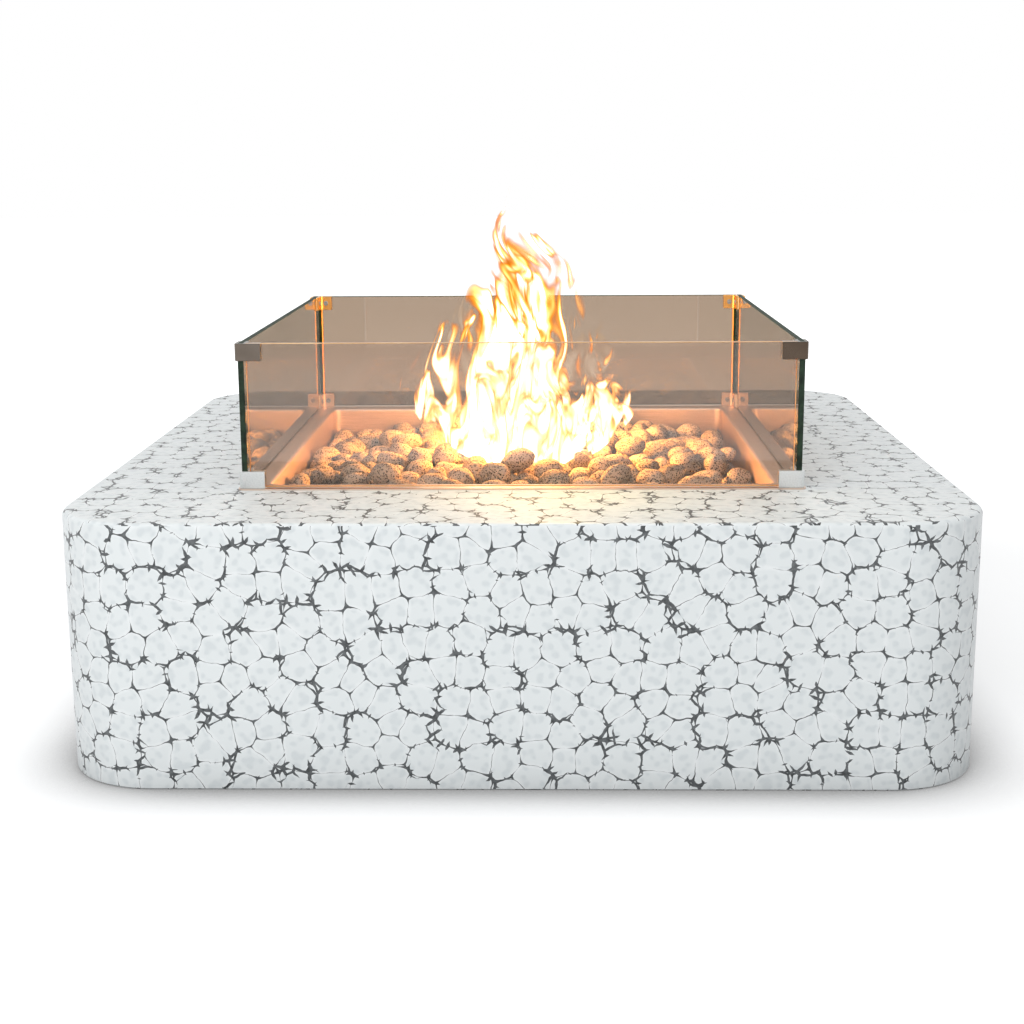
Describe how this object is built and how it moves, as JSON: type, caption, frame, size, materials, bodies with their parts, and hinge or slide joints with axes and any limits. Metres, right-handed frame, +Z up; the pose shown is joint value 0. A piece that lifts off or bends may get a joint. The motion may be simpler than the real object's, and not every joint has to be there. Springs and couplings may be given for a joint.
{
  "type": "fire pit",
  "caption": "Square cast fire pit with a drop-in burner pan of lava stones, a lift-off glass wind guard, rear gas controls and a hinged service door.",
  "frame": {"origin": "on the ground under the middle of the body", "axes": "+Z up, -Y towards the front, +X to the right seen from the front"},
  "size_m": [1.2272, 1.2312, 0.5596],
  "materials": {
    "cast_finish": "white marble-vein coating on a cast body, satin",
    "pan_steel": "folded stainless sheet, fine brushed",
    "burner_steel": "stainless tube, heat dulled",
    "plated_steel": "zinc plated or stainless fasteners",
    "brass": "turned and milled brass",
    "pipe_steel": "bent stainless tube",
    "chrome_trim": "polished chrome",
    "seat_polymer": "white seat rings",
    "plate_steel": "brushed stainless sheet",
    "black_plastic": "black moulded plastic",
    "button_plastic": "black push button",
    "ceramic": "white glazed ceramic",
    "lava_granules": "fine dark lava granules",
    "lava_stone": "tumbled porous lava stone",
    "tinted_glass": "tempered glass with ground green edges",
    "clip_metal": "satin stainless clips",
    "clear_rubber": "clear silicone liners"
  },
  "bodies": {
    "fire_pit": {"air_mixer": "brass", "body_casting": "cast_finish", "burner_locknut": "plated_steel", "burner_pan": "pan_steel", "burner_ring": "burner_steel", "burner_washer": "plated_steel", "control_plate": "plate_steel", "control_plate_screws": "plated_steel", "door_frame": "plate_steel", "door_frame_screws": "plated_steel", "electrode_bracket": "plated_steel", "electrode_insulator": "ceramic", "electrode_rod": "plated_steel", "gas_feed_pipe": "pipe_steel", "hinge_frame_leaves": "plated_steel", "hinge_pins": "plated_steel", "igniter_module": "black_plastic", "igniter_nut": "black_plastic", "lava_bed": "lava_granules", "lava_stones": "lava_stone", "magnet_catch": "black_plastic", "pipe_nuts": "brass", "valve_body": "brass", "valve_escutcheon": "chrome_trim", "valve_inlet_coupling": "brass", "valve_jam_nut": "brass", "valve_seats": "seat_polymer", "vent_grille_left": "plate_steel", "vent_grille_right": "plate_steel", "vent_screws": "plated_steel"},
    "wind_guard": {"clip_lower_front_left": "clip_metal", "clip_lower_front_right": "clip_metal", "clip_lower_rear_left": "clip_metal", "clip_lower_rear_right": "clip_metal", "clip_pads": "clear_rubber", "clip_screws": "plated_steel", "clip_upper_front_left": "clip_metal", "clip_upper_front_right": "clip_metal", "clip_upper_rear_left": "clip_metal", "clip_upper_rear_right": "clip_metal", "glass_front": "tinted_glass", "glass_left": "tinted_glass", "glass_rear": "tinted_glass", "glass_right": "tinted_glass"},
    "access_door": {"door_panel": "plate_steel", "door_knob": "chrome_trim", "door_knob_nut": "plated_steel", "hinge_door_leaves": "plated_steel"},
    "gas_key_stem": {"valve_stem": "brass", "valve_ball": "chrome_trim"},
    "igniter_push": {"igniter_button": "button_plastic"}
  },
  "joints": [
    {"name": "wind_guard_lift", "type": "slide", "parent": "fire_pit", "child": "wind_guard", "axis": [0, 0, 1], "range_m": [0, 0.25]},
    {"name": "door_hinge", "type": "hinge", "parent": "fire_pit", "child": "access_door", "pos_m": [0.39315, 0.6151, 0.145], "axis": [0, 0, -1], "range_deg": [0, 110]},
    {"name": "valve_turn", "type": "hinge", "parent": "fire_pit", "child": "gas_key_stem", "pos_m": [-0.4086, 0.5556, 0.1026], "axis": [0, 1, 0], "range_deg": [0, 90]},
    {"name": "igniter_press", "type": "slide", "parent": "fire_pit", "child": "igniter_push", "axis": [0, -1, 0], "range_m": [0, 0.004], "stiffness_N_per_m": 800, "springref_m": -0.002}
  ]
}
